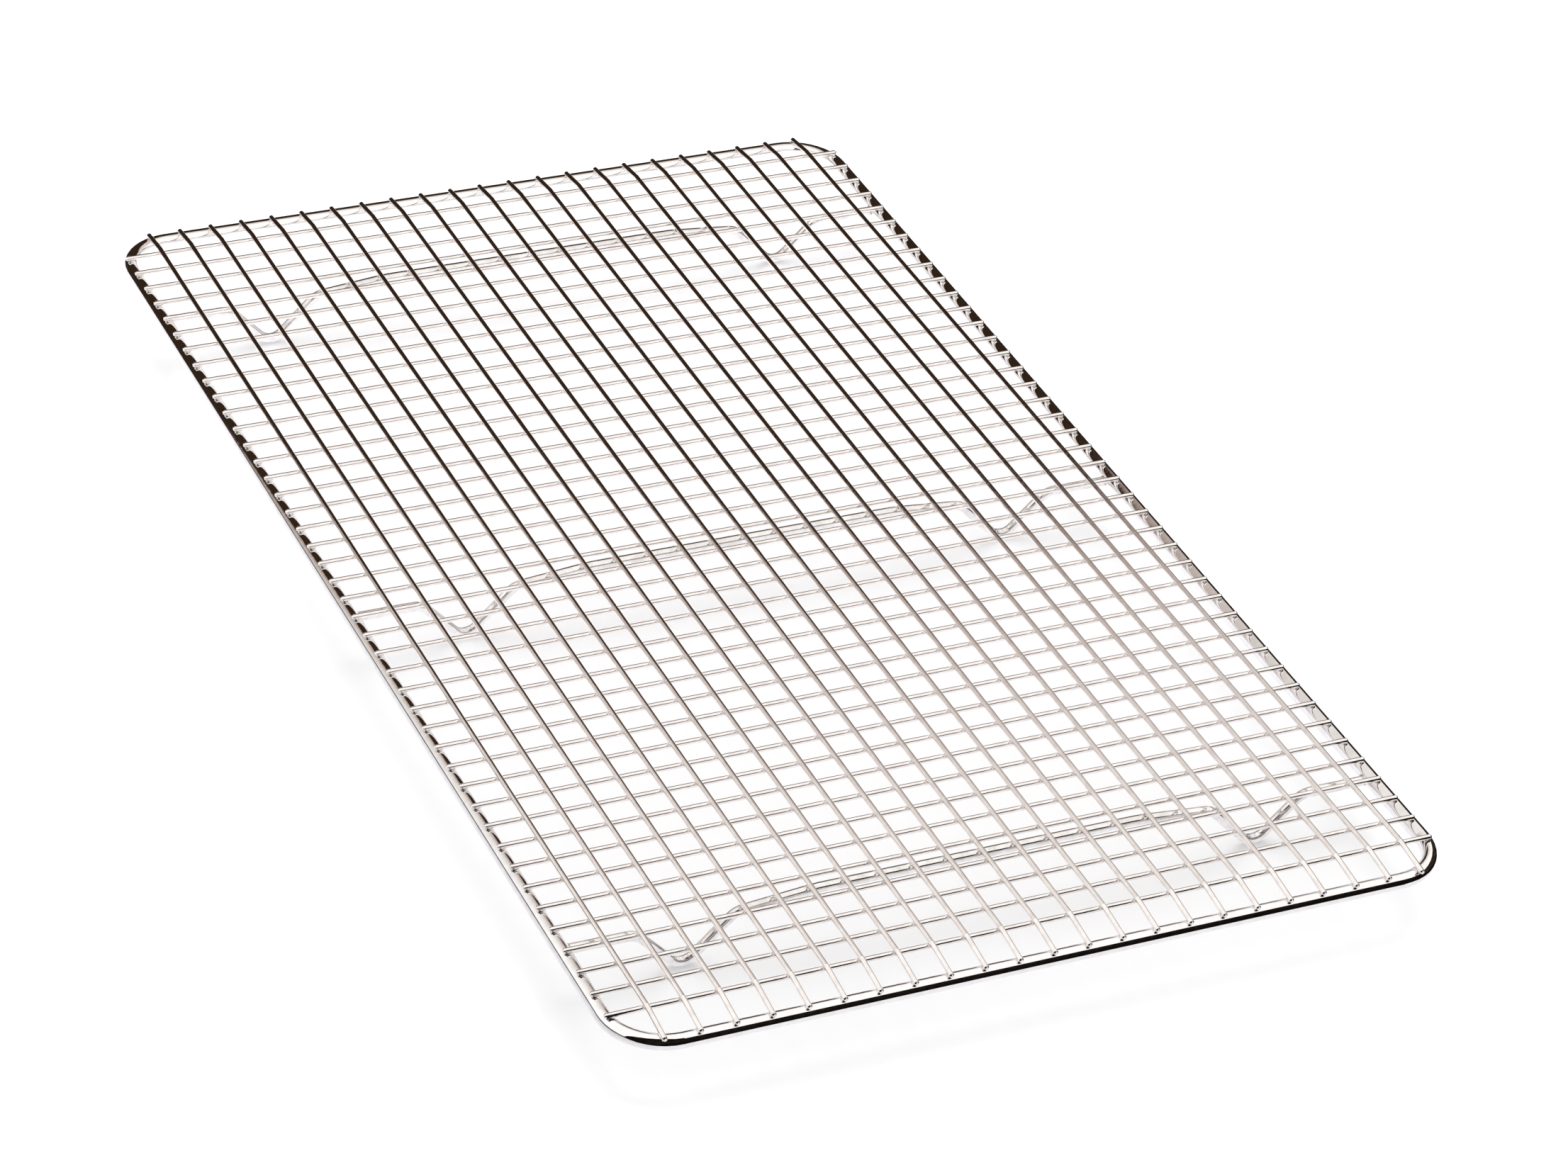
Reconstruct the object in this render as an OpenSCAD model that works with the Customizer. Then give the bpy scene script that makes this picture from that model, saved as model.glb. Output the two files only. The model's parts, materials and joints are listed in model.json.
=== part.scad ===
// Wire cooling rack: a thick frame wire around a welded grid, standing on the V bends of
// three foot wires. X runs across the rack, Y along it and Z up; the origin is on the
// surface it stands on, under its middle.

/* [Frame] */
// Overall width, outside to outside of the frame wire
frame_w = 254; // [230:1:330]
// Overall length, outside to outside of the frame wire
frame_l = 432; // [360:1:520]
// Diameter of the frame wire
frame_wire_d = 4.6; // [3.8:0.1:5]
// Bend radius of the frame's corners, at the middle of the wire
corner_r = 16; // [14:1:30]

/* [Grid] */
// Overall height of the rack
rack_h = 20; // [18:0.5:30]
// Diameter of the grid wires
wire_d = 1.6; // [1.2:0.1:2.2]
// Number of lengthwise wires
long_count = 23; // [15:1:25]
// Number of crosswise wires
cross_count = 43; // [31:2:43]
// From the middle of the frame wire to the first lengthwise wire
side_gap = 10.3; // [8:0.1:12]
// From the middle of the frame wire to the first crosswise wire
end_gap = 12.1; // [10:0.1:14]
// How far the lengthwise wires' front tips pass the middle of the frame wire
long_tip_front = 1.8; // [0.2:0.1:2]
// How far their back tips pass it
long_tip_back = 0.2; // [0.2:0.1:2]
// How far the crosswise wires' left tips pass the middle of the frame wire
cross_tip_left = 1.3; // [0.2:0.1:2]
// How far their right tips pass it
cross_tip_right = 0.4; // [0.2:0.1:2]
// How far crossing wires sink into each other where they are welded
weld_set_down = 0.15; // [0.05:0.05:0.2]

/* [Feet] */
// Diameter of the foot wires
foot_wire_d = 3; // [2.4:0.1:3.4]
// From the middle of the rack to the middle of each V bend
foot_x = 88.4; // [80:0.2:90]
// Slope of the V's legs
leg_angle = 46; // [42:1:55]
// Bend radius at the bottom of a V, at the middle of the wire
foot_r = 5; // [4:0.5:6]
// Bend radius at the top of a V, at the middle of the wire
shoulder_r = 7; // [5:0.5:8]
// Half the length over which a foot wire lies flat under the grid
flat_half = 50; // [40:1:52]
// How far the wire has come down from the grid where its V begins
shoulder_drop = 2.2; // [1.5:0.1:3]
// How far a foot wire's ends sit below the middle of the frame wire
end_drop = 0.8; // [0.4:0.1:1]
// Grid cells between an end crosswise wire and the foot wire near it
rows_in = 3; // [2:1:6]

/* [Hidden] */
$fn = 48;

// Half sizes of the frame, measured to the middle of its wire.
frame_half_x = (frame_w - frame_wire_d) / 2;
frame_half_y = (frame_l - frame_wire_d) / 2;

// Spacing of the grid wires.
pitch_x = 2 * (frame_half_x - side_gap) / (long_count - 1);
pitch_y = 2 * (frame_half_y - end_gap) / (cross_count - 1);

// Heights of the wires' middles: the lengthwise wires lie on the crosswise ones, whose
// ends lie on the frame, and the foot wires hang under the lengthwise ones.
long_z = rack_h - wire_d / 2;
cross_z = long_z - wire_d + weld_set_down;
frame_z = cross_z - (wire_d + frame_wire_d) / 2 + weld_set_down;
arch_z = long_z - (wire_d + foot_wire_d) / 2 + weld_set_down;
foot_end_z = frame_z - end_drop;

// A lengthwise wire's end slopes down from the last crosswise wire onto the frame wire.
slope_start_y = frame_half_y - end_gap + wire_d / 2;
on_frame = (frame_wire_d + wire_d) / 2 - weld_set_down;
slope_run = frame_half_y - slope_start_y;
slope_fall = long_z - frame_z;
slope_angle = atan2(slope_fall, slope_run) - asin(on_frame / norm([slope_run, slope_fall]));

// A nipped wire tip: the length of its taper and how much narrower it ends.
tip_l = 0.4;
tip_narrowing = 0.6;

// How much wider than its wire the ball at a lengthwise wire's end bends is.
ball_growth = 0.02;
// The hairline between a foot wire's straight stretch and its bend, and the core across it.
hairline = 0.02;
core_half_l = 0.4;
core_share = 0.8;

// Points where a foot wire would turn if its bends were sharp, on the +X side.
v_bottom_z = foot_wire_d / 2 - foot_r * (1 / cos(leg_angle) - 1);
inner_shoulder_z = arch_z - shoulder_drop;
inner_run = (inner_shoulder_z - v_bottom_z) / tan(leg_angle);
outer_run = (foot_end_z - v_bottom_z) / tan(leg_angle);
arch_bend_r = 60;
// The ends run into the frame wire and are cut back to its surface.
foot_tip_x = frame_half_x - 0.9;
foot_weld_depth = 0.05;

// Rows of the three foot wires, each in the middle of a row of cells.
foot_row_y = ((cross_count - 1) / 2 - rows_in - 0.5) * pitch_y;
foot_rows = [
    ["foot_wire_front", -foot_row_y],
    ["foot_wire_middle", -pitch_y / 2],
    ["foot_wire_back", foot_row_y]
];

function two_digits(n) = n < 10 ? str("0", n) : str(n);
function long_name(k) = str("long_wire_", two_digits(k + 1));
function cross_name(k) = k + 1 < cross_count
    ? str("cross_wires_", two_digits(k + 1), "_", two_digits(k + 2))
    : str("cross_wire_", two_digits(k + 1));
function long_x(k) = (k - (long_count - 1) / 2) * pitch_x;
function cross_y(k) = (k - (cross_count - 1) / 2) * pitch_y;

// Geometry of a bent wire in the XY plane: the direction of each straight stretch, how far
// each bend turns, and how much of the stretches beside it a bend takes up.
function unit(v) = v / norm(v);
function leg(p, k) = unit(p[k + 1] - p[k]);
function turn(u, w) = atan2(u.x * w.y - u.y * w.x, u * w);
function bend_turn(p, k) = turn(leg(p, k - 1), leg(p, k));
function is_bend(p, k) = k > 0 && k < len(p) - 1;
function trim(p, r, k) = is_bend(p, k) ? r[k] * tan(abs(bend_turn(p, k)) / 2) : 0;

// A length of round wire from a to b.
module rod(a, b, d) {
    translate(a)
        rotate([0, 0, atan2(b.y - a.y, b.x - a.x)])
            rotate([0, 90, 0])
                cylinder(h = norm(b - a), d = d);
}

// The core that joins a straight stretch to a bend across the hairline left between them.
module core(at, u, d) {
    rod(at - u * core_half_l, at + u * core_half_l, d * core_share);
}

// One bend of a wire, about its own centre, with a core at each of its ends.
module bend(p, r, k, d) {
    side = sign(bend_turn(p, k));
    u = leg(p, k - 1);
    to_side = side * [-u.y, u.x];
    start = p[k] - u * trim(p, r, k);
    end = p[k] + leg(p, k) * trim(p, r, k);
    from_angle = atan2(-to_side.y, -to_side.x);
    translate(start + to_side * r[k])
        rotate([0, 0, side > 0 ? from_angle : from_angle + bend_turn(p, k)])
            rotate_extrude(angle = abs(bend_turn(p, k)))
                translate([r[k], 0])
                    circle(d = d);
    core(start, u, d);
    core(end, leg(p, k), d);
}

// A wire through the points p, with its corners bent to the radii r.
module bent_wire(p, r, d) {
    for (k = [0 : len(p) - 2]) {
        from_end = is_bend(p, k) ? trim(p, r, k) + hairline : 0;
        to_end = is_bend(p, k + 1) ? trim(p, r, k + 1) + hairline : 0;
        rod(p[k] + leg(p, k) * from_end, p[k + 1] - leg(p, k) * to_end, d);
    }
    for (k = [1 : len(p) - 2])
        bend(p, r, k, d);
}

// A straight grid wire growing along +Z, with the tapered tip left where it was nipped off.
module nipped_wire(length) {
    cylinder(h = length - tip_l, d = wire_d);
    translate([0, 0, length - tip_l])
        cylinder(h = tip_l, d1 = wire_d, d2 = wire_d - tip_narrowing);
}

module perimeter_frame() {
    straight_x = frame_half_x - corner_r;
    straight_y = frame_half_y - corner_r;
    color("silver")
        translate([0, 0, frame_z]) {
            for (side = [-1, 1]) {
                rod([-straight_x, side * frame_half_y], [straight_x, side * frame_half_y],
                    frame_wire_d);
                rod([side * frame_half_x, -straight_y], [side * frame_half_x, straight_y],
                    frame_wire_d);
            }
            for (quarter = [0 : 3])
                translate([(quarter == 0 || quarter == 3 ? 1 : -1) * straight_x,
                           (quarter < 2 ? 1 : -1) * straight_y])
                    rotate([0, 0, 90 * quarter])
                        rotate_extrude(angle = 90)
                            translate([corner_r, 0])
                                circle(d = frame_wire_d);
        }
}

module long_wire(k) {
    tips = [long_tip_back, long_tip_front];
    color("gainsboro")
        translate([long_x(k), 0, long_z])
            for (end = [0, 1])
                mirror([0, end, 0]) {
                    rotate([-90, 0, 0])
                        cylinder(h = slope_start_y, d = wire_d);
                    translate([0, slope_start_y, 0]) {
                        sphere(d = wire_d + ball_growth);
                        rotate([-90 - slope_angle, 0, 0])
                            nipped_wire((slope_run + tips[end]) / cos(slope_angle));
                    }
                }
}

module cross_wire(k) {
    tips = [cross_tip_right, cross_tip_left];
    color("gainsboro")
        translate([0, cross_y(k), cross_z])
            for (end = [0, 1])
                mirror([end, 0, 0])
                    rotate([0, 90, 0])
                        nipped_wire(frame_half_x + tips[end]);
}

// Two neighbouring crosswise wires, or the last one on its own.
module cross_wires(k) {
    for (wire = [k : min(k + 1, cross_count - 1)])
        cross_wire(wire);
}

module foot_wire(y) {
    points = [
        [0, arch_z],
        [flat_half, arch_z],
        [foot_x - inner_run, inner_shoulder_z],
        [foot_x, v_bottom_z],
        [foot_x + outer_run, foot_end_z],
        [foot_tip_x, foot_end_z]
    ];
    radii = [0, arch_bend_r, shoulder_r, foot_r, shoulder_r, 0];
    color("lightgray")
        difference() {
            translate([0, y, 0])
                for (side = [0, 1])
                    mirror([side, 0, 0])
                        rotate([90, 0, 0])
                            bent_wire(points, radii, foot_wire_d);
            for (side = [-1, 1])
                translate([side * frame_half_x, y + 2 * foot_wire_d, frame_z])
                    rotate([90, 0, 0])
                        cylinder(h = 4 * foot_wire_d, d = frame_wire_d - 2 * foot_weld_depth);
        }
}

perimeter_frame();
for (k = [0 : long_count - 1])
    long_wire(k);
for (k = [0 : 2 : cross_count - 1])
    cross_wires(k);
for (row = foot_rows)
    foot_wire(row[1]);
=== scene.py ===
"""Wire cooling rack: bright chrome on every wire, the welds where wires meet, and a small studio.

Lengths are in metres, in the rack's own frame: +X across it, +Y along it, +Z up from the feet.
The look of chrome is the look of what it mirrors, so the studio's light tent, white sheet and dark
cards show only in reflections. Around the rack, the camera sees only a plain white floor.
"""

import json
import math
import random

import bmesh
import bpy
from mathutils import Matrix, Vector


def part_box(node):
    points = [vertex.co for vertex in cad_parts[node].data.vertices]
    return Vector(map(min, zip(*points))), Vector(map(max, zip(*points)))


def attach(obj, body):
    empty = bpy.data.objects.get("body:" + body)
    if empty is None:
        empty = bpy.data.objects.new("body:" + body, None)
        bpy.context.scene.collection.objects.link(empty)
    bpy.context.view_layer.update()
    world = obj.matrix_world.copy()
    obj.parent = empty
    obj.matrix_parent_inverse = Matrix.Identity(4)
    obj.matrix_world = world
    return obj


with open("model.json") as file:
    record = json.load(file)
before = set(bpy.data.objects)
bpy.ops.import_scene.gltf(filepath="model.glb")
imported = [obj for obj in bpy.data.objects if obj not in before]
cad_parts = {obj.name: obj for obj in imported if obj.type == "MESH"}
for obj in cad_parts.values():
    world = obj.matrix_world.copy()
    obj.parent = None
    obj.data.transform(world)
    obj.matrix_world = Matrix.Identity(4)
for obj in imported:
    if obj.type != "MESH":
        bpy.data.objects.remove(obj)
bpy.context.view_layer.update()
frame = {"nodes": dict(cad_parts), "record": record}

MM = 0.001
random.seed(7)

# ---------------------------------------------------------------------------
# Sizes read from the CAD
# ---------------------------------------------------------------------------


def lowest(name):
    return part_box(name)[0]


def highest(name):
    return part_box(name)[1]


LONG_WIRES = sorted(n for n in frame["nodes"] if n.startswith("long_wire"))
CROSS_NODES = sorted(n for n in frame["nodes"] if n.startswith("cross_wire"))
FOOT_WIRES = sorted(n for n in frame["nodes"] if n.startswith("foot_wire"))

# The perimeter wire: its radius, and how high and how far out its middle runs.
ring_lo, ring_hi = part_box("perimeter_frame")
RING_R = (ring_hi.z - ring_lo.z) / 2
RING_Z = (ring_hi.z + ring_lo.z) / 2
RING_X = ring_hi.x - RING_R
RING_Y = ring_hi.y - RING_R

# The grid's wires: their radius, and how high the middles of the two layers run.
cross_lo, cross_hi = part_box(CROSS_NODES[0])
long_lo, long_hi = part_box(LONG_WIRES[0])
WIRE_R = (cross_hi.z - cross_lo.z) / 2
CROSS_Z = (cross_hi.z + cross_lo.z) / 2
LONG_Z = long_hi.z - WIRE_R

# How far the wires' tips pass the middle of the perimeter wire.
LONG_TIP_FRONT = -long_lo.y - RING_Y
LONG_TIP_BACK = long_hi.y - RING_Y
CROSS_TIP_LEFT = -cross_lo.x - RING_X
CROSS_TIP_RIGHT = cross_hi.x - RING_X

LONG_XS = [(lowest(n).x + highest(n).x) / 2 for n in LONG_WIRES]


def cross_places():
    """The Y of every crosswise wire; a node holds one wire or two."""
    ys = []
    for name in CROSS_NODES:
        lo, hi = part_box(name)
        ys.append(lo.y + WIRE_R)
        if hi.y - lo.y > 4 * WIRE_R:
            ys.append(hi.y - WIRE_R)
    return sorted(ys)


CROSS_YS = cross_places()

# The foot wires: their places, their radius and how high their flat middles run.
FOOT_YS = [(lowest(n).y + highest(n).y) / 2 for n in FOOT_WIRES]
FOOT_R = (highest(FOOT_WIRES[0]).y - lowest(FOOT_WIRES[0]).y) / 2
FOOT_Z = highest(FOOT_WIRES[0]).z - FOOT_R
# The lengthwise wires nearer the middle than this are welded to the foot wires.
FOOT_FLAT_HALF = 53 * MM
# How far a foot wire's ends sit below the perimeter wire's middle, and how far short of it they stop.
FOOT_END_DROP = 0.8 * MM
FOOT_TIP_BACK = 0.9 * MM

# ---------------------------------------------------------------------------
# Materials
# ---------------------------------------------------------------------------


class Shader:
    """A material's node tree, with short calls for the few nodes the materials use."""

    def __init__(self, name):
        self.material = bpy.data.materials.new(name)
        self.material.use_nodes = True
        self.tree = self.material.node_tree
        self.tree.nodes.clear()
        self.output = self.tree.nodes.new("ShaderNodeOutputMaterial")
        self.where = self.add("ShaderNodeTexCoord").outputs["Object"]

    def add(self, kind, **settings):
        node = self.tree.nodes.new(kind)
        for key, value in settings.items():
            setattr(node, key, value)
        return node

    def link(self, source, target):
        self.tree.links.new(source, target)

    def finish(self, surface):
        """Puts a shader's output on the surface and gives back the material."""
        self.link(surface, self.output.inputs["Surface"])
        return self.material

    def stretched(self, scale):
        node = self.add("ShaderNodeMapping")
        node.inputs["Scale"].default_value = scale
        self.link(self.where, node.inputs["Vector"])
        return node.outputs["Vector"]

    def noise(self, scale, detail=2.0, rough=0.5, vector=None):
        node = self.add("ShaderNodeTexNoise")
        node.inputs["Scale"].default_value = scale
        node.inputs["Detail"].default_value = detail
        node.inputs["Roughness"].default_value = rough
        self.link(vector or self.where, node.inputs["Vector"])
        return node.outputs["Fac"]

    def ramp(self, fac, stops):
        """Colours a value by a row of (place, colour) stops."""
        node = self.add("ShaderNodeValToRGB")
        elements = node.color_ramp.elements
        while len(elements) < len(stops):
            elements.new(0.5)
        for element, (place, colour) in zip(elements, stops):
            element.position = place
            element.color = (*colour, 1)
        self.link(fac, node.inputs["Fac"])
        return node.outputs["Color"]

    def spread(self, value, low, high, to_low, to_high):
        """Maps the range from low to high onto the range from to_low to to_high."""
        node = self.add("ShaderNodeMapRange")
        sockets = ("From Min", "From Max", "To Min", "To Max")
        for socket, number in zip(sockets, (low, high, to_low, to_high)):
            node.inputs[socket].default_value = number
        self.link(value, node.inputs["Value"])
        return node.outputs["Result"]

    def bump(self, height, distance, strength, under=None):
        node = self.add("ShaderNodeBump")
        node.inputs["Distance"].default_value = distance
        node.inputs["Strength"].default_value = strength
        self.link(height, node.inputs["Height"])
        if under is not None:
            self.link(under, node.inputs["Normal"])
        return node.outputs["Normal"]


# How fine the plate's detail is, as noise scales per metre, and how deep its bumps are. A noise
# value varies about a half: over a span of it the haze clears, or the polish goes from best to worst.
HAZE_SCALE = 260.0
HAZE_SPAN = (0.35, 0.65)
POLISH_SCALE = 900.0
POLISH_SPAN = (0.3, 0.7)
RIPPLE_SCALE = 420.0
RIPPLE_DEPTH = 0.02 * MM
SCRATCH_SCALES = (5200.0, 700.0, 5200.0)
SCRATCH_DEPTH = 0.004 * MM
SCRATCH_STRENGTH = 0.25


def chrome(name, bright, haze_and_shade, rough, ripple):
    """Chrome plate: nearly white metal with faint haze, plating ripple and hairline scratches. The darker
    colours that some plates are given carry painted shade.
    """
    s = Shader(name)
    shader = s.add("ShaderNodeBsdfPrincipled")
    shader.inputs["Metallic"].default_value = 1.0
    haze = s.noise(HAZE_SCALE, detail=3.0, rough=0.6)
    clearing = list(zip(HAZE_SPAN, (haze_and_shade, bright)))
    s.link(s.ramp(haze, clearing), shader.inputs["Base Color"])
    polish = s.noise(POLISH_SCALE, detail=3.0)
    s.link(s.spread(polish, *POLISH_SPAN, *rough), shader.inputs["Roughness"])
    ripples = s.bump(s.noise(RIPPLE_SCALE, detail=1.0), RIPPLE_DEPTH, ripple)
    scratches = s.noise(1.0, rough=0.6, vector=s.stretched(SCRATCH_SCALES))
    normal = s.bump(scratches, SCRATCH_DEPTH, SCRATCH_STRENGTH, ripples)
    s.link(normal, shader.inputs["Normal"])
    return s.finish(shader.outputs["BSDF"])


# Each plate's colour where it is clean, and where it is hazy.
FRAME_WHITE = (0.97, 0.965, 0.96)
FRAME_HAZE = (0.9, 0.89, 0.88)
# The foot wires' colours are darker than the frame's plate: painted shade where the foot wires lie under
# the grid.
FOOT_SHADED_WHITE = (0.91, 0.895, 0.88)
FOOT_SHADED_HAZE = (0.76, 0.735, 0.71)
WIRE_WHITE = (0.93, 0.895, 0.87)
WIRE_HAZE = (0.84, 0.795, 0.765)
# The welds' darker, browner colours are painted contact shade where the wires meet; the weld metal itself
# is real.
WELD_SHADED_CLEAN = (0.72, 0.68, 0.64)
WELD_SHADED_HAZE = (0.42, 0.37, 0.33)

MATERIALS = {
    "frame_chrome": chrome("frame_chrome_plate", FRAME_WHITE, FRAME_HAZE, rough=(0.03, 0.08), ripple=0.5),
    "grid_chrome": chrome("grid_chrome_plate", WIRE_WHITE, WIRE_HAZE, rough=(0.06, 0.14), ripple=0.4),
    # The foot plate carries painted shade: darker colours for the foot wires under the grid.
    "foot_chrome": chrome("foot_chrome_plate_painted_shade", FOOT_SHADED_WHITE, FOOT_SHADED_HAZE, rough=(0.04, 0.1), ripple=0.5),
}
# Weld metal whose colour carries painted contact shade.
SHADED_WELD_METAL = chrome("plated_weld_painted_shade", WELD_SHADED_CLEAN, WELD_SHADED_HAZE, rough=(0.15, 0.35), ripple=1.0)


def dress_cad_nodes():
    """Gives every CAD node the material of the slot that the record names for it."""
    for name, obj in frame["nodes"].items():
        for entry in frame["record"]["subparts"]:
            if entry["node"] == name:
                for material_slot in obj.material_slots:
                    material_slot.material = MATERIALS[entry["material_slot"]]


# ---------------------------------------------------------------------------
# Welds
# ---------------------------------------------------------------------------

# A fillet fills the space between two crossing wires out to where they are this far apart.
FILLET_GAP = (0.1 * MM, 0.18 * MM)
FILLET_STEPS = 20
FILLET_RINGS = 5
# How far its edges reach into the wires, and how hollow it is, as a share of its gap.
FILLET_BITE = 0.02 * MM
FILLET_HOLLOW = 0.45
# Halvings in the search for its outline, which stays within this share of the thinner wire's radius.
REACH_HALVINGS = 24
REACH_LIMIT = 0.98
# The taper at a nipped wire tip, and the least that a fillet reaches towards one.
TIP_TAPER = 0.4 * MM
TIP_LEAST = 0.05 * MM
# A collar is this wide where a foot wire's end butts against the perimeter wire.
COLLAR_SIZE = (0.5 * MM, 0.7 * MM)
COLLAR_STEPS = 48
# How far it sinks into the perimeter wire.
COLLAR_BITE = 0.06 * MM


def make_piece(name, bm):
    """Turns weld metal into a piece that rides with the rack."""
    mesh = bpy.data.meshes.new(name)
    bm.normal_update()
    bm.to_mesh(mesh)
    bm.free()
    mesh.shade_smooth()
    obj = bpy.data.objects.new(name, mesh)
    bpy.context.scene.collection.objects.link(obj)
    mesh.materials.append(SHADED_WELD_METAL)
    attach(obj, "root")


def stitch(bm, rows):
    """Joins neighbouring rows of points, the last to the first, into a band of faces."""
    for here, there in zip(rows, rows[1:] + rows[:1]):
        for k in range(len(here) - 1):
            bm.faces.new((here[k], there[k], there[k + 1], here[k + 1]))


def contact_reach(turn, upper_r, lower_r, apart, gap):
    """How far out, in one direction, two crossing wires are a gap apart. The upper one runs along Y."""
    near = 0.0
    far = REACH_LIMIT * min(upper_r, lower_r) / max(abs(math.cos(turn)), abs(math.sin(turn)))
    for _ in range(REACH_HALVINGS):
        reach = (near + far) / 2
        rise_upper = upper_r**2 - (reach * math.cos(turn)) ** 2
        rise_lower = lower_r**2 - (reach * math.sin(turn)) ** 2
        if rise_upper <= 0 or rise_lower <= 0:
            far = reach
        elif apart - math.sqrt(rise_upper) - math.sqrt(rise_lower) < gap:
            near = reach
        else:
            far = reach
    return near


def fillet(bm, place, upper_r, lower_r, apart, tip=0.0):
    """The concave ring of weld metal between two crossing wires; place puts the lower wire's middle
    at its origin, with the lower wire along X and the upper one along Y. Where the upper wire ends
    near by, tip is the Y beyond which its underside tapers away, and the ring stops there."""
    gap = random.uniform(*FILLET_GAP)
    rows = []
    for step in range(FILLET_STEPS):
        turn = 2 * math.pi * step / FILLET_STEPS
        reach = contact_reach(turn, upper_r, lower_r, apart, gap)
        if tip * math.sin(turn) > 0:
            reach = min(reach, tip / math.sin(turn))
        top = apart - math.sqrt(max(upper_r**2 - (reach * math.cos(turn)) ** 2, 0))
        bottom = math.sqrt(max(lower_r**2 - (reach * math.sin(turn)) ** 2, 0))
        middle = (top + bottom) / 2
        half = (top - bottom) / 2 + FILLET_BITE
        row = []
        for k in range(FILLET_RINGS):
            t = 2 * k / (FILLET_RINGS - 1) - 1
            out = reach - FILLET_HOLLOW * gap * (1 - t * t)
            point = Vector((out * math.cos(turn), out * math.sin(turn), middle + t * half))
            row.append(bm.verts.new(place @ point))
        rows.append(row)
    stitch(bm, rows)


def end_collar(bm, side, y):
    """The concave collar of weld metal where a foot wire's end butts against the perimeter wire."""
    size = random.uniform(*COLLAR_SIZE)
    rows = []
    for step in range(COLLAR_STEPS):
        turn = 2 * math.pi * step / COLLAR_STEPS
        row = []
        for k in range(FILLET_RINGS):
            t = k / (FILLET_RINGS - 1)
            out = FOOT_R - FILLET_BITE + size * (1 - math.cos(t * math.pi / 2))
            back = size * (1 - math.sin(t * math.pi / 2))
            drop = min(FOOT_END_DROP - out * math.sin(turn), RING_R)
            depth = math.sqrt(RING_R**2 - drop**2)
            depth += max(FOOT_TIP_BACK - depth, 0) * (1 - t)
            x = side * (RING_X - depth - back + COLLAR_BITE)
            row.append(bm.verts.new((x, y + out * math.cos(turn), RING_Z - drop)))
        rows.append(row)
    stitch(bm, rows)


def sound_tip(past):
    """How far past the perimeter wire's middle a weld can follow a nipped wire tip."""
    return max(past - TIP_TAPER, TIP_LEAST)


def grid_welds():
    bm = bmesh.new()
    for x in LONG_XS:
        for y in CROSS_YS:
            place = Matrix.Translation((x, y, CROSS_Z))
            fillet(bm, place, WIRE_R, WIRE_R, LONG_Z - CROSS_Z)
    make_piece("grid_weld_fillets", bm)


def side_welds():
    """Crosswise wires on the long sides of the perimeter wire, which runs along Y there."""
    bm = bmesh.new()
    quarter = Matrix.Rotation(math.pi / 2, 4, "Z")
    for side, past in ((-1, CROSS_TIP_LEFT), (1, CROSS_TIP_RIGHT)):
        tip = -side * sound_tip(past)
        for y in CROSS_YS:
            place = Matrix.Translation((side * RING_X, y, RING_Z)) @ quarter
            fillet(bm, place, WIRE_R, RING_R, CROSS_Z - RING_Z, tip)
    make_piece("side_weld_fillets", bm)


def end_welds():
    """Sloping ends of the lengthwise wires on the short sides of the perimeter wire."""
    bm = bmesh.new()
    run = RING_Y - (max(CROSS_YS) + WIRE_R)
    fall = LONG_Z - RING_Z
    apart = CROSS_Z - RING_Z
    slope = math.atan2(fall, run) - math.asin(apart / math.hypot(run, fall))
    for end, past in ((-1, LONG_TIP_FRONT), (1, LONG_TIP_BACK)):
        tip = end * sound_tip(past)
        tilt = Matrix.Rotation(-end * slope, 4, "X")
        for x in LONG_XS:
            place = Matrix.Translation((x, end * RING_Y, RING_Z)) @ tilt
            fillet(bm, place, WIRE_R, RING_R, apart, tip)
    make_piece("end_weld_fillets", bm)


def foot_welds():
    bm = bmesh.new()
    for y in FOOT_YS:
        for x in LONG_XS:
            if abs(x) < FOOT_FLAT_HALF:
                place = Matrix.Translation((x, y, FOOT_Z))
                fillet(bm, place, WIRE_R, FOOT_R, LONG_Z - FOOT_Z)
    make_piece("foot_weld_fillets", bm)


def foot_end_welds():
    bm = bmesh.new()
    for y in FOOT_YS:
        for side in (-1, 1):
            end_collar(bm, side, y)
    make_piece("foot_end_weld_collars", bm)


# ---------------------------------------------------------------------------
# Studio: what only the chrome sees
# ---------------------------------------------------------------------------


def studio_piece(name, verts, faces, material):
    mesh = bpy.data.meshes.new(name)
    mesh.from_pydata(verts, [], faces)
    obj = bpy.data.objects.new(name, mesh)
    bpy.context.scene.collection.objects.link(obj)
    mesh.materials.append(material)
    return obj


def reflected_only(obj):
    """Makes a studio piece show only in the chrome."""
    obj.visible_camera = False
    obj.visible_diffuse = False
    obj.visible_shadow = False


# The tent is an arch over the rack. Its rims end this far above the horizon, right and left, and
# its back edge crosses the middle at TENT_EDGE and slants to the front by TENT_SLANT towards +X.
TENT_R = 0.6
TENT_RIGHT_RIM = math.radians(26)
TENT_LEFT_RIM = math.radians(7)
TENT_EDGE = 0.6
TENT_SLANT = 0.18
TENT_FRONT = -2.0
TENT_STEPS = 24
# Its light rises over TENT_FADE from the back edge, fast at first, and grows less warm as it does.
TENT_FADE = 0.42
TENT_RISE = 0.5
TENT_DIM = 0.12
TENT_BRIGHT = 1.1
TENT_TINTS = [
    (0.0, (1.0, 0.76, 0.66)),
    (0.2, (1.0, 0.79, 0.7)),
    (0.42, (1.0, 0.86, 0.79)),
    (0.6, (1.0, 0.93, 0.89)),
    (1.0, (1.0, 0.98, 0.965)),
]


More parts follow.
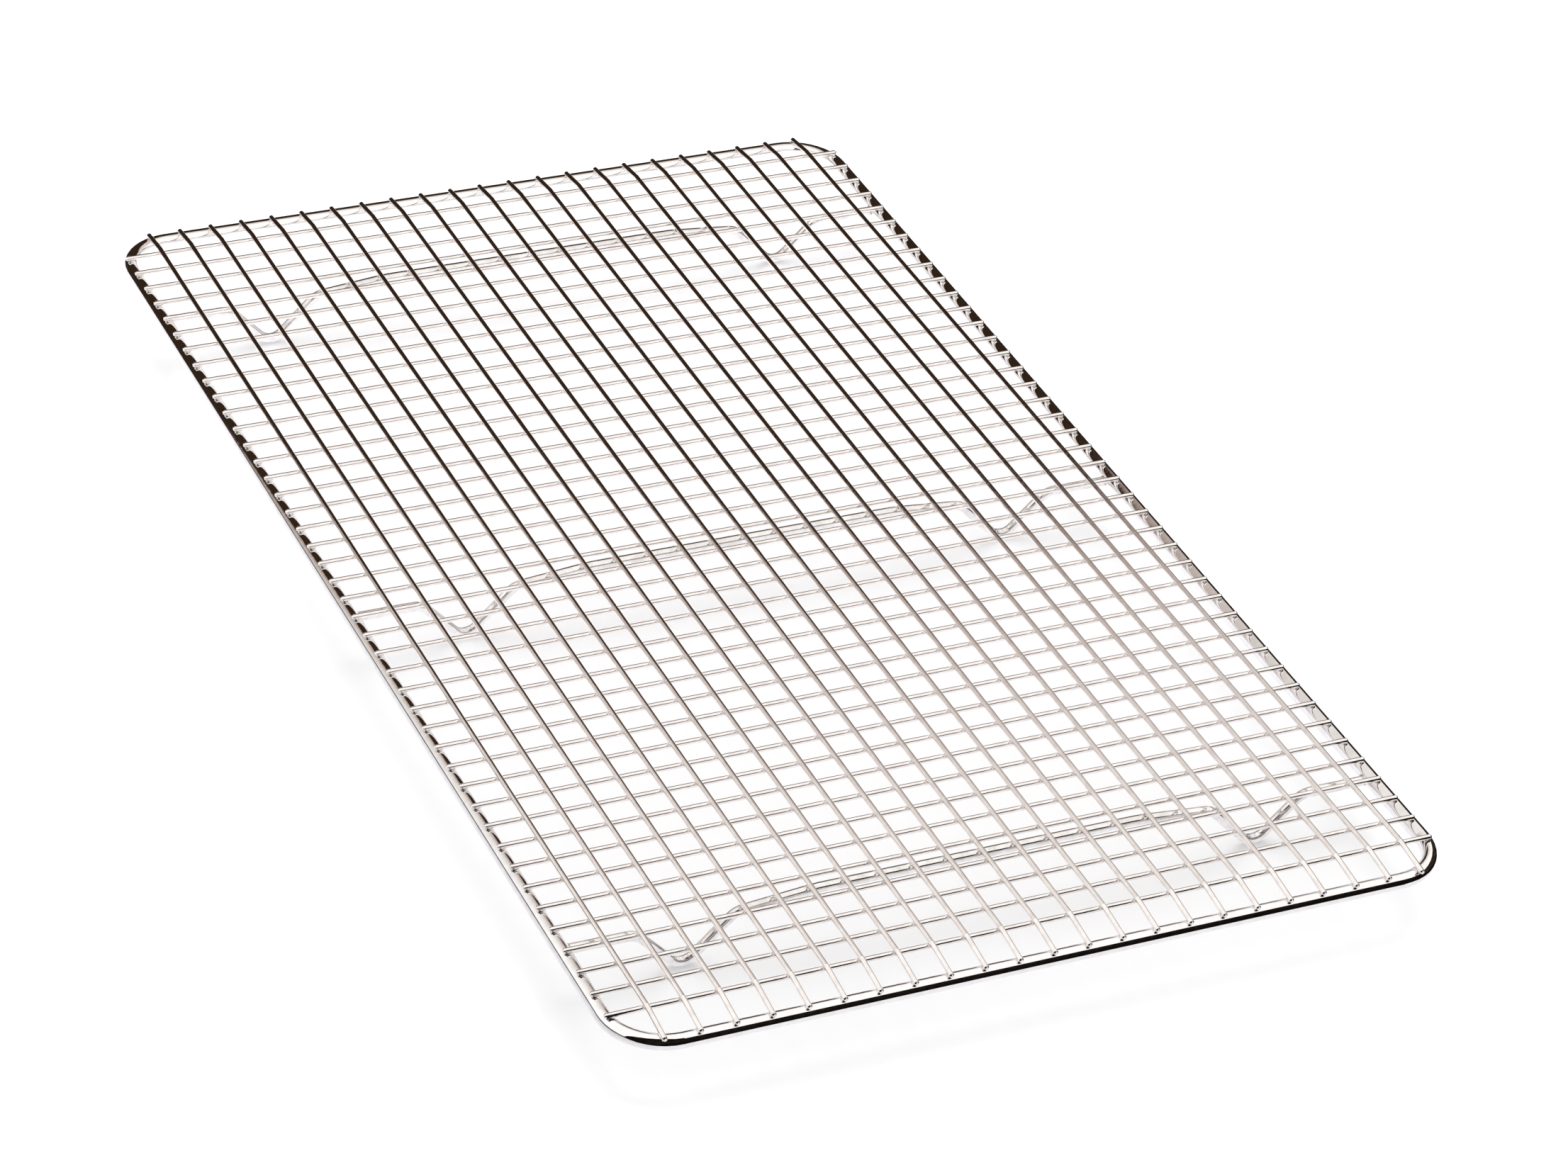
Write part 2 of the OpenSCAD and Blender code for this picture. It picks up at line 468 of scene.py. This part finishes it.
def tent_glow():
    """The tent's cloth, dimmer and warmer towards its back edge."""
    s = Shader("tent_glow")
    emission = s.add("ShaderNodeEmission")
    along = s.add("ShaderNodeVectorMath", operation="DOT_PRODUCT")
    along.inputs[1].default_value = (TENT_SLANT, 1.0, 0.0)
    s.link(s.where, along.inputs[0])
    inside = s.spread(along.outputs["Value"], TENT_EDGE, TENT_EDGE - TENT_FADE, 0.0, 1.0)
    rise = s.add("ShaderNodeMath", operation="POWER")
    rise.inputs[1].default_value = TENT_RISE
    s.link(inside, rise.inputs[0])
    light = s.spread(rise.outputs["Value"], 0.0, 1.0, TENT_DIM, TENT_BRIGHT)
    s.link(light, emission.inputs["Strength"])
    s.link(s.ramp(rise.outputs["Value"], TENT_TINTS), emission.inputs["Color"])
    return s.finish(emission.outputs["Emission"])


def make_tent():
    """The light tent. The lengthwise wires turn from bright to dark where they mirror its back edge."""
    verts = []
    faces = []
    for step in range(TENT_STEPS + 1):
        turn = TENT_RIGHT_RIM + (math.pi - TENT_RIGHT_RIM - TENT_LEFT_RIM) * step / TENT_STEPS
        x = TENT_R * math.cos(turn)
        z = TENT_R * math.sin(turn)
        verts += [(x, TENT_FRONT, z), (x, TENT_EDGE - TENT_SLANT * x, z)]
    for step in range(TENT_STEPS):
        faces.append((2 * step, 2 * step + 1, 2 * step + 3, 2 * step + 2))
    reflected_only(studio_piece("tent", verts, faces, tent_glow()))


# The white sheet under the rack reaches this far past it.
SHEET_FRONT = 36 * MM
SHEET_BACK = 60 * MM
SHEET_LEFT = 150 * MM
SHEET_RIGHT = 20 * MM
# The sheet and the dark floor around it lie this far above the paper.
SHEET_LIFT = 0.1 * MM
# The sheet's light, a painted reflection of the lit paper: grey past the rack's left side as painted
# shade, and brighter towards the back as painted light.
SHEET_WHITE = (0.98, 0.965, 1.0)
SHEET_LEFT_SHADE = 0.72
SHEET_SHADE_OUTSIDE = 50 * MM
SHEET_SHADE_INSIDE = 15 * MM
SHEET_FRONT_LIGHT = 0.93
SHEET_BACK_LIGHT = 1.25
# The dark floor beyond the sheet ends here.
DARK_REACH = 4.0
DARK_BLACK = (0.005, 0.0035, 0.0025)
# The dark card in front of the rack is low on the right, and its top rises to the tall left part.
DARK_FRONT_Y = -0.35
DARK_FRONT_LEFT = -0.9
DARK_FRONT_RIGHT = 0.5
DARK_FRONT_LOW = 0.17
DARK_FRONT_TALL = 0.55
DARK_FRONT_RISE_X = (-0.08, -0.02)


def sheet_glow():
    """White paper as the chrome sees it, as a glow: greyer to the left and towards the front, which is
    painted shade.
    """
    s = Shader("sheet_glow")
    emission = s.add("ShaderNodeEmission")
    emission.inputs["Color"].default_value = (*SHEET_WHITE, 1)
    split = s.add("ShaderNodeSeparateXYZ")
    s.link(s.where, split.inputs["Vector"])
    shade_from = ring_lo.x - SHEET_SHADE_OUTSIDE
    shade_to = ring_lo.x + SHEET_SHADE_INSIDE
    across = s.spread(split.outputs["X"], shade_from, shade_to, SHEET_LEFT_SHADE, 1.0)
    along = s.spread(split.outputs["Y"], ring_lo.y, ring_hi.y, SHEET_FRONT_LIGHT, SHEET_BACK_LIGHT)
    both = s.add("ShaderNodeMath", operation="MULTIPLY")
    s.link(across, both.inputs[0])
    s.link(along, both.inputs[1])
    s.link(both.outputs["Value"], emission.inputs["Strength"])
    return s.finish(emission.outputs["Emission"])


def black_card():
    s = Shader("black_card")
    emission = s.add("ShaderNodeEmission")
    emission.inputs["Color"].default_value = (*DARK_BLACK, 1)
    emission.inputs["Strength"].default_value = 1.0
    return s.finish(emission.outputs["Emission"])


def card(name, corners, material):
    reflected_only(studio_piece(name, corners, [tuple(range(len(corners)))], material))


def flat(x0, x1, y0, y1):
    """The corners of a flat rectangle just above the floor."""
    return [(x0, y0, SHEET_LIFT), (x1, y0, SHEET_LIFT), (x1, y1, SHEET_LIFT), (x0, y1, SHEET_LIFT)]


def make_cards():
    """The white sheet under the rack ends a little past it; beyond it the room is dark."""
    black = black_card()
    front = ring_lo.y - SHEET_FRONT
    back = ring_hi.y + SHEET_BACK
    left = ring_lo.x - SHEET_LEFT
    right = ring_hi.x + SHEET_RIGHT
    far = DARK_REACH
    # The white sheet glows as a painted reflection of the lit paper, with painted shade to the left and
    # towards the front.
    card("white_sheet", flat(left, right, front, back), sheet_glow())
    card("dark_floor_front", flat(-far, far, -far, front), black)
    card("dark_floor_back", flat(-far, far, back, far), black)
    card("dark_floor_left", flat(-far, left, front, back), black)
    card("dark_floor_right", flat(right, far, front, back), black)
    outline = [
        (DARK_FRONT_LEFT, 0),
        (DARK_FRONT_RIGHT, 0),
        (DARK_FRONT_RIGHT, DARK_FRONT_LOW),
        (DARK_FRONT_RISE_X[1], DARK_FRONT_LOW),
        (DARK_FRONT_RISE_X[0], DARK_FRONT_TALL),
        (DARK_FRONT_LEFT, DARK_FRONT_TALL),
    ]
    card("dark_front", [(x, DARK_FRONT_Y, z) for x, z in outline], black)


# ---------------------------------------------------------------------------
# Studio: floor, light and camera
# ---------------------------------------------------------------------------

FLOOR_HALF = 15.0
PAPER_TINTS = [(0.3, (0.9, 0.9, 0.905)), (0.7, (0.92, 0.92, 0.92))]
PAPER_TINT_SCALE = 3.0
PAPER_GRAIN_SCALE = 900.0
PAPER_GRAIN_DEPTH = 0.05 * MM
PAPER_GRAIN_STRENGTH = 0.2
PAPER_ROUGHNESS = 0.9
PAPER_SHINE = 0.1


def make_floor():
    """The white paper that everything stands on."""
    s = Shader("white_paper")
    shader = s.add("ShaderNodeBsdfPrincipled")
    shader.inputs["Roughness"].default_value = PAPER_ROUGHNESS
    shader.inputs["Specular IOR Level"].default_value = PAPER_SHINE
    s.link(s.ramp(s.noise(PAPER_TINT_SCALE), PAPER_TINTS), shader.inputs["Base Color"])
    grain = s.bump(s.noise(PAPER_GRAIN_SCALE), PAPER_GRAIN_DEPTH, PAPER_GRAIN_STRENGTH)
    s.link(grain, shader.inputs["Normal"])
    half = FLOOR_HALF
    corners = [(-half, -half, 0), (half, -half, 0), (half, half, 0), (-half, half, 0)]
    studio_piece("floor", corners, [(0, 1, 2, 3)], s.finish(shader.outputs["BSDF"]))


# The white light all round, and the dark room that only the chrome sees.
FILL_STRENGTH = 1.05
ROOM_BROWN = (0.03, 0.017, 0.01)


def make_world():
    """White light for everything but the chrome, which mirrors a dark room. A mirrored ray that has
    met paper on its way sees the white light again."""
    world = bpy.data.worlds.new("studio")
    bpy.context.scene.world = world
    world.use_nodes = True
    tree = world.node_tree
    tree.nodes.clear()
    add = tree.nodes.new
    link = tree.links.new
    fill = add("ShaderNodeBackground")
    fill.inputs["Color"].default_value = (1.0, 1.0, 1.0, 1)
    fill.inputs["Strength"].default_value = FILL_STRENGTH
    room = add("ShaderNodeBackground")
    room.inputs["Color"].default_value = (*ROOM_BROWN, 1)
    rays = add("ShaderNodeLightPath")
    no_paper = add("ShaderNodeMath")
    no_paper.operation = "LESS_THAN"
    no_paper.inputs[1].default_value = 0.5
    link(rays.outputs["Diffuse Depth"], no_paper.inputs[0])
    mirrored = add("ShaderNodeMath")
    mirrored.operation = "MULTIPLY"
    link(rays.outputs["Is Glossy Ray"], mirrored.inputs[0])
    link(no_paper.outputs["Value"], mirrored.inputs[1])
    mix = add("ShaderNodeMixShader")
    link(mirrored.outputs["Value"], mix.inputs[0])
    link(fill.outputs["Background"], mix.inputs[1])
    link(room.outputs["Background"], mix.inputs[2])
    output = add("ShaderNodeOutputWorld")
    link(mix.outputs["Shader"], output.inputs["Surface"])


# The key light shines at the middle of the rack from the back right.
KEY_PLACE = Vector((0.5, 0.8, 1.5))
KEY_WIDTH = 1.6
KEY_HEIGHT = 1.2
KEY_WATTS = 16


def make_key_light():
    data = bpy.data.lights.new("key", "AREA")
    data.shape = "RECTANGLE"
    data.size = KEY_WIDTH
    data.size_y = KEY_HEIGHT
    data.energy = KEY_WATTS
    obj = bpy.data.objects.new("key", data)
    bpy.context.scene.collection.objects.link(obj)
    obj.location = KEY_PLACE
    obj.rotation_euler = (-KEY_PLACE).to_track_quat("-Z", "Y").to_euler()
    obj.visible_glossy = False


# The camera stands front left of the rack and looks down on it, turned a little about its own axis.
CAMERA_PLACE = Vector((-0.5613, -1.1287, 0.8499))
CAMERA_AIM = Vector((0.0007, -0.0337, 0.018))
CAMERA_ROLL = math.radians(5.51)
CAMERA_LENS = 115.34
SENSOR_WIDTH = 36.0
CLIP_END = 100.0


def make_camera():
    data = bpy.data.cameras.new("camera")
    data.lens = CAMERA_LENS
    data.sensor_width = SENSOR_WIDTH
    data.clip_end = CLIP_END
    obj = bpy.data.objects.new("camera", data)
    bpy.context.scene.collection.objects.link(obj)
    look = (CAMERA_AIM - CAMERA_PLACE).to_track_quat("-Z", "Y").to_matrix().to_4x4()
    roll = Matrix.Rotation(CAMERA_ROLL, 4, "Z")
    obj.matrix_world = Matrix.Translation(CAMERA_PLACE) @ look @ roll
    bpy.context.scene.camera = obj


# ---------------------------------------------------------------------------
# Build
# ---------------------------------------------------------------------------

make_camera()
make_world()
make_key_light()
make_tent()
make_cards()
make_floor()
dress_cad_nodes()
grid_welds()
side_welds()
end_welds()
foot_welds()
foot_end_welds()

bpy.context.scene.view_settings.view_transform = "Standard"
